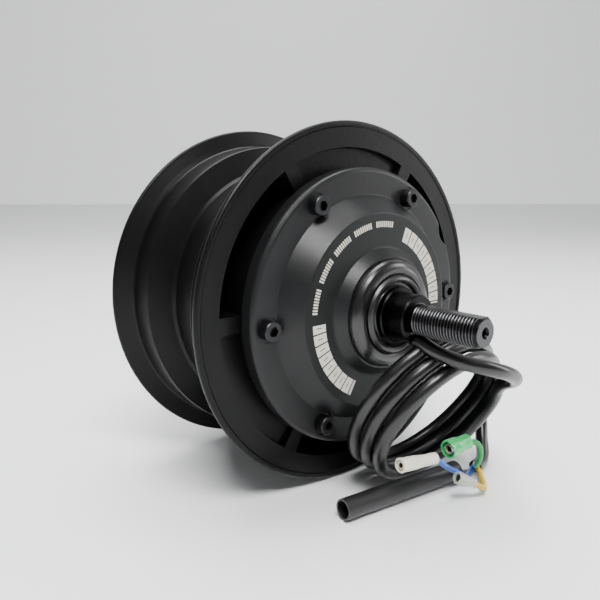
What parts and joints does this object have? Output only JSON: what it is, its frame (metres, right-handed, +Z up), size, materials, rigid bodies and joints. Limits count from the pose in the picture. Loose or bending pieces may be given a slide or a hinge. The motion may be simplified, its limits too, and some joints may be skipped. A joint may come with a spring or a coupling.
{
  "type": "hub motor wheel",
  "caption": "Wheel rim with a brushless motor in its hub, on a fixed threaded axle with flats, with a coiled cable ending in bullet connectors.",
  "frame": {"origin": "Centre of the wheel, on the axle's line, midway between the two tyre flanges.", "axes": "The axle lies along Y, the cable leaves on the -Y side and the brake disc seat faces +Y. +Z is up, with the motor cable under the axle."},
  "size_m": [0.17, 0.23, 0.17],
  "materials": {
    "white_nylon": "white nylon plug housing",
    "grey_insulation": "grey insulation",
    "painted_rim": "satin black powder coat",
    "magnet_plate": "nickel plated magnets",
    "copper_wire": "enamelled copper wire",
    "axle_steel": "black oxide steel",
    "circuit_board": "green circuit board",
    "gasket_paper": "thin black gasket",
    "painted_cover": "satin black powder coat with a printed ring",
    "screw_steel": "dark zinc socket screws",
    "gloss_cap": "gloss black moulding",
    "black_rubber": "black seal rubber",
    "bearing_steel": "ground bearing steel",
    "brass_cage": "pressed steel cage",
    "plain_steel": "plain steel",
    "cast_aluminium": "cast aluminium",
    "core_steel": "stacked electrical steel",
    "insulator_plastic": "pale insulating plastic",
    "black_chip": "black chip body",
    "cable_jacket": "gloss black cable jacket",
    "phase_leads": "coloured lead insulation",
    "grey_sleeve": "dark woven glass sleeve",
    "cream_sleeve": "cream soft sleeve",
    "green_sleeve": "green see-through sleeve",
    "clear_sleeve": "clear sleeve",
    "connector_metal": "plated bullet connector",
    "blue_insulation": "blue insulation",
    "green_insulation": "green insulation",
    "yellow_insulation": "yellow insulation"
  },
  "bodies": {
    "axle_and_stator": {"cable_side_bearing_inner_race": "bearing_steel", "brake_side_bearing_inner_race": "bearing_steel", "axle": "axle_steel", "axle_key": "plain_steel", "cable_side_circlip": "plain_steel", "brake_side_circlip": "plain_steel", "cable_side_spacer": "plain_steel", "stator_carrier": "cast_aluminium", "stator_core": "core_steel", "cable_side_insulator": "insulator_plastic", "brake_side_insulator": "insulator_plastic", "stator_coils": "copper_wire", "hall_board": "circuit_board", "hall_sensors": "black_chip", "hall_board_screws": "screw_steel", "inner_cable": "cable_jacket", "inner_phase_leads": "phase_leads", "motor_cable": "cable_jacket", "motor_cable_coil": "cable_jacket", "motor_cable_tail": "cable_jacket", "cable_sleeve": "grey_sleeve", "cream_connector_sleeve": "cream_sleeve", "cream_connector": "connector_metal", "blue_phase_lead": "blue_insulation", "green_connector_sleeve": "green_sleeve", "green_connector": "connector_metal", "green_phase_lead": "green_insulation", "clear_connector_sleeve": "clear_sleeve", "clear_connector": "connector_metal", "yellow_phase_lead": "yellow_insulation", "sensor_lead": "grey_insulation", "sensor_connector": "white_nylon"},
    "wheel": {"hub_shell": "painted_rim", "flux_ring": "plain_steel", "magnets": "magnet_plate", "cable_side_gasket": "gasket_paper", "cable_side_cover": "painted_cover", "cable_side_cover_screws": "screw_steel", "cable_side_seal_cap": "gloss_cap", "cable_side_oil_seal": "black_rubber", "cable_side_bearing_outer_race": "bearing_steel", "cable_side_bearing_shields": "black_rubber", "brake_side_gasket": "gasket_paper", "brake_side_cover": "painted_cover", "brake_side_cover_screws": "screw_steel", "brake_side_oil_seal": "black_rubber", "brake_side_bearing_outer_race": "bearing_steel", "brake_side_bearing_shields": "black_rubber"},
    "cable_side_ball_cage": {"cable_side_bearing_balls": "bearing_steel", "cable_side_bearing_cage": "brass_cage"},
    "brake_side_ball_cage": {"brake_side_bearing_balls": "bearing_steel", "brake_side_bearing_cage": "brass_cage"}
  },
  "joints": [
    {"name": "wheel_spin", "type": "hinge", "parent": "axle_and_stator", "child": "wheel", "pos_m": [0, 0, 0], "axis": [0, 1, 0], "continuous": true},
    {"name": "cable_side_cage_spin", "type": "hinge", "parent": "axle_and_stator", "child": "cable_side_ball_cage", "pos_m": [0, 0, 0], "axis": [0, 1, 0], "continuous": true},
    {"name": "brake_side_cage_spin", "type": "hinge", "parent": "axle_and_stator", "child": "brake_side_ball_cage", "pos_m": [0, 0, 0], "axis": [0, 1, 0], "continuous": true}
  ],
  "couplings": [
    {"joint": "cable_side_cage_spin", "follows": "wheel_spin", "ratio": 0.5881},
    {"joint": "brake_side_cage_spin", "follows": "wheel_spin", "ratio": 0.6023}
  ]
}
